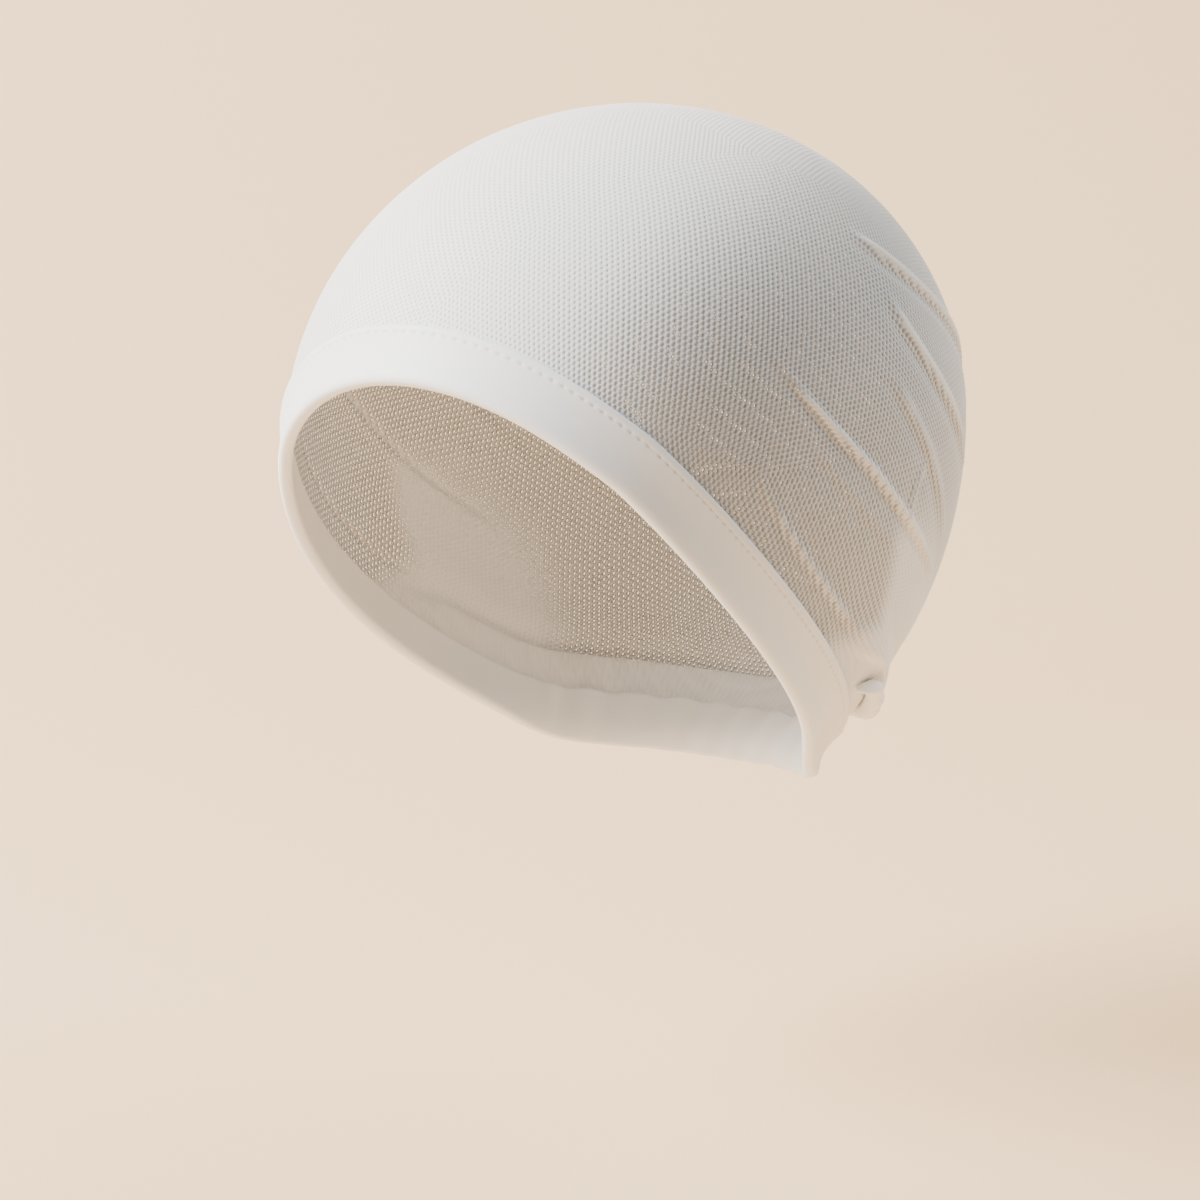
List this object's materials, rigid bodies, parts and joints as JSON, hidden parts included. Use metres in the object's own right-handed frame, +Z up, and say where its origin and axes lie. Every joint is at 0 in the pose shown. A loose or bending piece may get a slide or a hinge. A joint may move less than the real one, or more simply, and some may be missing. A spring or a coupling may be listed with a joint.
{
  "type": "wig cap",
  "caption": "Stretch knit mesh wig cap in its worn form: an open-mesh dome gathered into a folded satin edge band, with a rolled tuck of spare mesh at the nape.",
  "frame": {"origin": "the inside of the crown's top, on the cap's middle plane, where the top of a head touches it", "axes": "+Z up, front (forehead) at -Y, nape at +Y, +X to the cap's left as it is worn"},
  "size_m": [0.1581, 0.1964, 0.1753],
  "materials": {
    "mesh_crown": "matt open knit mesh, off-white",
    "edge_band": "smooth satin knit, off-white",
    "nape_roll": "doubled knit mesh, off-white"
  },
  "bodies": {
    "root": {"mesh_crown": "mesh_crown", "edge_band": "edge_band", "nape_roll": "nape_roll"}
  },
  "joints": []
}
